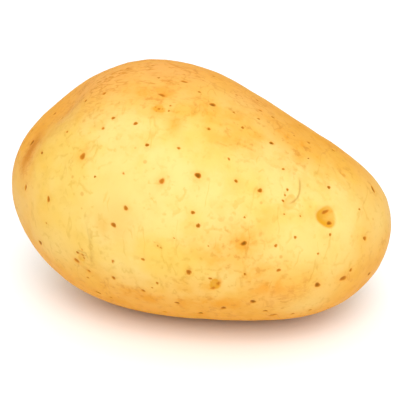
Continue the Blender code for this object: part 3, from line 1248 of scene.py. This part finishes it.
    def material(self, box: Box) -> bpy.types.Material:
        """Make the skin's material.

        Args:
            box: The least and the greatest corner of the tuber, in metres.

        Returns:
            The material.
        """
        material = bpy.data.materials.new("potato_skin")
        material.use_nodes = True
        bench = Bench(material.node_tree)
        place = bench.make("ShaderNodeTexCoord", {}).outputs["Object"]
        layers = self._layers(bench, place)
        surface = material.node_tree.nodes["Principled BSDF"].inputs
        bench.feed(surface["Base Color"], self._colour(bench, layers, self._rim_tone_and_shade(bench, place, box)))
        bench.feed(surface["Roughness"], self._roughness(bench, layers))
        bench.feed(surface["Normal"], self._grain(bench, layers, place))
        surface["Subsurface Weight"].default_value = self.glow
        surface["Subsurface Radius"].default_value = self.glow_reach
        surface["Subsurface Scale"].default_value = self.glow_depth * MM
        surface["Specular IOR Level"].default_value = self.gloss
        return material


@dataclass
class Tuber:
    """The potato itself.

    Attributes:
        cuts: Cuts along each edge of the cube, one number for each round of cutting.
        proud: How much larger than the solid's box the sphere starts, as a share.
        smoothing: Rounds of smoothing after the first wrap.
        evening: How far each round evens out the skin, from 0 to 1.
        strengths: How far a full weight moves the skin outwards, in millimetres.
        flake_size: Size of the raised flakes, in millimetres.
        flake_height: Height of the flakes, in millimetres.
        swells: Size and height of each layer of gentle unevenness, in millimetres.
        cloud_layers: How many finer layers the swells and the flakes have.
        least_weight: The weight under which a vertex is left out of the relief.
        pore_cuts: How far beyond a pore its first and second cuts reach, in millimetres.
        pore_core: Share of a pore that its second cut covers.
        recess_cut: Share of a recess's width that its cut covers.
        line_cut: How far beyond a crease its second cut reaches, in breadths of its line.
        patch_cut: Share of a flaky patch's length and width that its cut covers.
        finish: The skin's finish.
    """

    cuts: tuple[int, int] = (8, 6)
    proud: float = 0.02
    smoothing: int = 10
    evening: float = 0.5
    strengths: dict[Relief, float] = field(
        default_factory=lambda: {
            Relief.HOLLOW: -1.0,
            Relief.BROW: 1.0,
            Relief.RIM: 0.05,
            Relief.PIT: -0.16,
        }
    )
    flake_size: float = 1.8
    flake_height: float = 0.2
    swells: tuple[tuple[float, float], ...] = ((13.0, 0.5), (4.5, 0.14))
    cloud_layers: int = 2
    least_weight: float = 0.001
    pore_cuts: tuple[float, float] = (0.6, 0.2)
    pore_core: float = 0.75
    recess_cut: float = 0.95
    line_cut: float = 2.0
    patch_cut: float = 0.45
    finish: SkinFinish = SkinFinish()

    def build(self) -> bpy.types.Object:
        """Model, mark and dress the tuber.

        Returns:
            The finished piece.
        """
        survey = Surveyor()
        piece = self._wrap(survey)
        marks = self._footings(survey)
        self._cut_finer(piece, marks)
        skin = self._mark(piece, marks)
        survey.leave()
        self._raise_relief(piece, skin)
        self._press_flat(piece)
        self._paint(piece, skin)
        self._dress(piece)
        triangles = sum(len(face.vertices) - 2 for face in piece.data.polygons)
        LOG.info("%s: %d triangles, %d marks", piece.name, triangles, len(marks))
        return piece

    def _wrap(self, survey: Surveyor) -> bpy.types.Object:
        """Cut a cube into small faces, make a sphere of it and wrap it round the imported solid.

        Args:
            survey: The survey of the solid.

        Returns:
            The bare skin.
        """
        bpy.ops.object.select_all(action="DESELECT")
        bpy.ops.mesh.primitive_cube_add(size=2.0)
        piece = bpy.context.active_object
        piece.name = "potato_skin"
        bpy.ops.object.mode_set(mode="EDIT")
        bpy.ops.mesh.select_all(action="SELECT")
        for cuts in self.cuts:
            bpy.ops.mesh.subdivide(number_cuts=cuts)
        bpy.ops.object.mode_set(mode="OBJECT")
        finish_with(piece, "CAST", cast_type="SPHERE", factor=1.0, use_radius_as_size=False, size=1.0)
        bpy.ops.object.mode_set(mode="EDIT")
        bpy.ops.mesh.select_all(action="SELECT")
        bpy.ops.transform.resize(value=survey.half * (1.0 + self.proud))
        bpy.ops.transform.translate(value=survey.centre)
        bpy.ops.object.mode_set(mode="OBJECT")
        finish_with(piece, "SHRINKWRAP", target=survey.guide, wrap_method="TARGET_PROJECT")
        finish_with(piece, "SMOOTH", factor=self.evening, iterations=self.smoothing)
        finish_with(piece, "SHRINKWRAP", target=survey.guide, wrap_method="NEAREST_SURFACEPOINT")
        return piece

    def _footings(self, survey: Surveyor) -> list[tuple[Mark, Footing]]:
        """Find where every mark stands, and sow pores over the rest of the skin.

        Args:
            survey: The survey of the solid.

        Returns:
            Each mark with its footing, wide patches first.
        """
        listed = (*PATCHES, *RECESSES, *CREASES, *PORES, *BUDS)
        placed = [(mark, survey.stand(mark.place)) for mark in listed]
        taken = [footing.centre for mark, footing in placed if not isinstance(mark, Patch)]
        return placed + survey.sow(Sowing(), taken)

    def _cut_finer(self, piece: bpy.types.Object, marks: list[tuple[Mark, Footing]]) -> None:
        """Cut the faces smaller where the marks need it.

        Args:
            piece: The skin.
            marks: Every mark with its footing.
        """
        first: list[tuple[np.ndarray, float]] = []
        second: list[tuple[np.ndarray, float]] = []
        wide, narrow = self.pore_cuts
        for mark, footing in marks:
            if isinstance(mark, Lenticel):
                reach = mark.across * math.sqrt(mark.stretch)
                first.append((footing.centre, reach + wide))
                second.append((footing.centre, reach * self.pore_core + narrow))
            elif isinstance(mark, Recess):
                first.append((footing.centre, mark.width * self.recess_cut))
            elif isinstance(mark, Crease):
                first.append((footing.centre, mark.radius + mark.breadth))
                if mark.line > 0.0:
                    reach = mark.radius + SkinMarks.LINE_BREADTH * self.line_cut
                    second.append((footing.centre, reach))
            elif mark.paint is Paint.RUSSET:
                first.append((footing.centre, (mark.length + mark.width) * self.patch_cut))
        self._subdivide_near(piece, first)
        self._subdivide_near(piece, second)

    def _subdivide_near(self, piece: bpy.types.Object, spots: list[tuple[np.ndarray, float]]) -> None:
        """Subdivide the faces near some points once.

        Args:
            piece: The skin.
            spots: Each point, in metres, with how far round it to cut, in millimetres.
        """
        mesh = piece.data
        centres = np.empty(len(mesh.polygons) * 3)
        mesh.polygons.foreach_get("center", centres)
        centres = centres.reshape(-1, 3)
        near = np.zeros(len(centres), dtype=bool)
        for centre, reach in spots:
            near |= ((centres - centre) ** 2).sum(axis=1) < (reach * MM) ** 2
        choose(piece)
        bpy.ops.object.mode_set(mode="EDIT")
        bpy.ops.mesh.select_mode(type="FACE")
        bpy.ops.mesh.select_all(action="DESELECT")
        bpy.ops.object.mode_set(mode="OBJECT")
        mesh.polygons.foreach_set("select", near)
        bpy.ops.object.mode_set(mode="EDIT")
        bpy.ops.mesh.subdivide(number_cuts=1)
        bpy.ops.object.mode_set(mode="OBJECT")

    def _mark(self, piece: bpy.types.Object, marks: list[tuple[Mark, Footing]]) -> SkinMarks:
        """Work out the weights and the paint of every mark.

        Args:
            piece: The skin.
            marks: Every mark with its footing.

        Returns:
            The weights and the paint.
        """
        skin = SkinMarks(vertex_places(piece.data))
        hands = {Patch: skin.patch, Recess: skin.recess, Crease: skin.crease, Lenticel: skin.pore}
        for mark, footing in marks:
            hands[type(mark)](mark, footing)
        return skin

    def _raise_relief(self, piece: bpy.types.Object, skin: SkinMarks) -> None:
        """Displace the skin, first everywhere and then by the weights of its marks.

        Args:
            piece: The skin.
            skin: The weights.
        """
        for size, height in self.swells:
            self._displace_with_clouds(piece, "swell", size, height, "")
        for relief in Relief:
            group = piece.vertex_groups.new(name=relief.value)
            weights = skin.relief[relief]
            for number in np.nonzero(weights > self.least_weight)[0]:
                group.add([int(number)], float(weights[number]), "REPLACE")
            if relief is Relief.FLAKE:
                self._displace_with_clouds(piece, "flake", self.flake_size, self.flake_height, relief.value)
            else:
                strength = self.strengths[relief] * MM
                finish_with(piece, "DISPLACE", strength=strength, mid_level=0.0, vertex_group=relief.value)
        piece.vertex_groups.clear()

    def _displace_with_clouds(
        self, piece: bpy.types.Object, name: str, size: float, height: float, group: str
    ) -> None:
        """Displace the skin by a cloudy texture.

        Args:
            piece: The skin.
            name: The texture's name.
            size: Size of the clouds, in millimetres.
            height: Height from the lowest to the highest, in millimetres.
            group: The vertex group to keep to, or nothing for the whole skin.
        """
        clouds = bpy.data.textures.new(name, "CLOUDS")
        clouds.noise_scale = size * MM
        clouds.noise_depth = self.cloud_layers
        finish_with(
            piece,
            "DISPLACE",
            texture=clouds,
            texture_coords="LOCAL",
            strength=height * MM,
            mid_level=0.5,
            vertex_group=group,
        )

    def _press_flat(self, piece: bpy.types.Object) -> None:
        """Keep the underside on the resting surface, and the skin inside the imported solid's box.

        Args:
            piece: The skin.
        """
        low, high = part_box(NODE)
        places = np.clip(vertex_places(piece.data), np.array(low), np.array(high))
        piece.data.vertices.foreach_set("co", places.ravel())
        piece.data.update()

    def _paint(self, piece: bpy.types.Object, skin: SkinMarks) -> None:
        """Store the paint on the skin's vertices.

        Args:
            piece: The skin.
            skin: The paint.
        """
        for paint, amounts in skin.paint.items():
            attribute = piece.data.attributes.new(paint.value, "FLOAT", "POINT")
            attribute.data.foreach_set("value", amounts.astype(np.float32))

    def _dress(self, piece: bpy.types.Object) -> None:
        """Shade the skin smooth, give it its finish and put it in the solid's stead."""
        choose(piece)
        bpy.ops.object.shade_smooth()
        piece.data.materials.append(self.finish.material(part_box(NODE)))
        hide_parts(NODE)
        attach(piece, BODY)


@dataclass(frozen=True)
class Softbox:
    """A large soft light.

    Attributes:
        name: Its name.
        bearing: Degrees round the object from the front, towards +X.
        elevation: Degrees above the floor.
        distance: Metres from the object.
        size: Metres along each side.
        power: Watts.
        tint: Its colour.
    """

    name: str
    bearing: float
    elevation: float
    distance: float
    size: float
    power: float
    tint: Colour = WHITE

    def hang(self, aim: Vector) -> None:
        """Hang the light and turn it to the object.

        Args:
            aim: The point that it faces.
        """
        light = bpy.data.lights.new(self.name, "AREA")
        light.shape = "SQUARE"
        light.size = self.size
        light.energy = self.power
        light.color = self.tint
        lamp = bpy.data.objects.new(self.name, light)
        bpy.context.scene.collection.objects.link(lamp)
        back = outward(self.bearing, self.elevation)
        lamp.location = aim + back * self.distance
        lamp.rotation_euler = back.to_track_quat("Z", "Y").to_euler()
        lamp.visible_camera = False


@dataclass(frozen=True)
class Studio:
    """A plain white table in a bright white room.

    Attributes:
        floor_size: Length of the floor's sides, in metres.
        floor_colour: The floor's white.
        floor_roughness: How matt the floor is.
        floor_gloss: Strength of its mirror reflection.
        horizon_light: Strength of the room's light from its walls.
        zenith_light: Strength of the room's light from its ceiling.
        lights: The softboxes.
        aim_share: Height of the point that the camera and lights face, as a share of the tuber's.
        bearing: Degrees of the camera round the object from the front, towards +X.
        elevation: Degrees of the camera above the floor.
        distance: Metres from the camera to that point.
        lens: Focal length, in millimetres.
    """

    floor_size: float = 6.0
    floor_colour: Colour = (0.97, 0.97, 0.97)
    floor_roughness: float = 0.7
    floor_gloss: float = 0.2
    horizon_light: float = 0.56
    zenith_light: float = 0.85
    lights: tuple[Softbox, ...] = (
        Softbox("key_light", bearing=20.0, elevation=48.0, distance=1.5, size=1.0, power=16.0),
        Softbox("top_light", bearing=-20.0, elevation=85.0, distance=1.8, size=1.6, power=6.0),
    )
    aim_share: float = 0.445
    bearing: float = 15.0
    elevation: float = 25.0
    distance: float = 0.293
    lens: float = 100.0

    def set_up(self) -> None:
        """Lay the floor, hang the lights and stand the camera."""
        low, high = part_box(NODE)
        aim = Vector((0.0, 0.0, low.z + (high.z - low.z) * self.aim_share))
        self._lay_floor()
        self._light_room()
        for light in self.lights:
            light.hang(aim)
        self._stand_camera(aim)
        bpy.context.scene.view_settings.view_transform = "Standard"

    def _lay_floor(self) -> None:
        """Lay the plain white floor."""
        bpy.ops.object.select_all(action="DESELECT")
        bpy.ops.mesh.primitive_plane_add(size=self.floor_size)
        floor = bpy.context.active_object
        floor.name = "floor"
        material = bpy.data.materials.new("white_table")
        material.use_nodes = True
        surface = material.node_tree.nodes["Principled BSDF"]
        surface.inputs["Base Color"].default_value = opaque(self.floor_colour)
        surface.inputs["Roughness"].default_value = self.floor_roughness
        surface.inputs["Specular IOR Level"].default_value = self.floor_gloss
        floor.data.materials.append(material)

    def _light_room(self) -> None:
        """Fill the room with white light, stronger from the ceiling than from the walls."""
        world = bpy.data.worlds.new("white_room")
        world.use_nodes = True
        background = world.node_tree.nodes["Background"]
        background.inputs["Color"].default_value = opaque(WHITE)
        bench = Bench(world.node_tree)
        direction = bench.make("ShaderNodeTexCoord", {}).outputs["Generated"]
        rise = bench.make("ShaderNodeSeparateXYZ", {"Vector": direction}).outputs["Z"]
        span = {"Value": rise, "To Min": self.horizon_light, "To Max": self.zenith_light}
        bench.feed(background.inputs["Strength"], bench.make("ShaderNodeMapRange", span).outputs["Result"])
        bpy.context.scene.world = world

    def _stand_camera(self, aim: Vector) -> None:
        """Stand the camera and turn it to the object.

        Args:
            aim: The point that it faces.
        """
        lens = bpy.data.cameras.new("camera")
        lens.lens = self.lens
        camera = bpy.data.objects.new("camera", lens)
        bpy.context.scene.collection.objects.link(camera)
        back = outward(self.bearing, self.elevation)
        camera.location = aim + back * self.distance
        camera.rotation_euler = back.to_track_quat("Z", "Y").to_euler()
        bpy.context.scene.camera = camera


def main() -> None:
    """Build the potato and its studio, and log the finished piece's triangles and marks and what it stands
    for.
    """
    logging.basicConfig(level=logging.INFO, format="%(name)s: %(message)s")
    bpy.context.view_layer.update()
    Studio().set_up()
    piece = Tuber().build()
    LOG.info("%s stands for %s and rides on %s", piece.name, NODE, BODY)


if __name__ == "__main__":
    main()
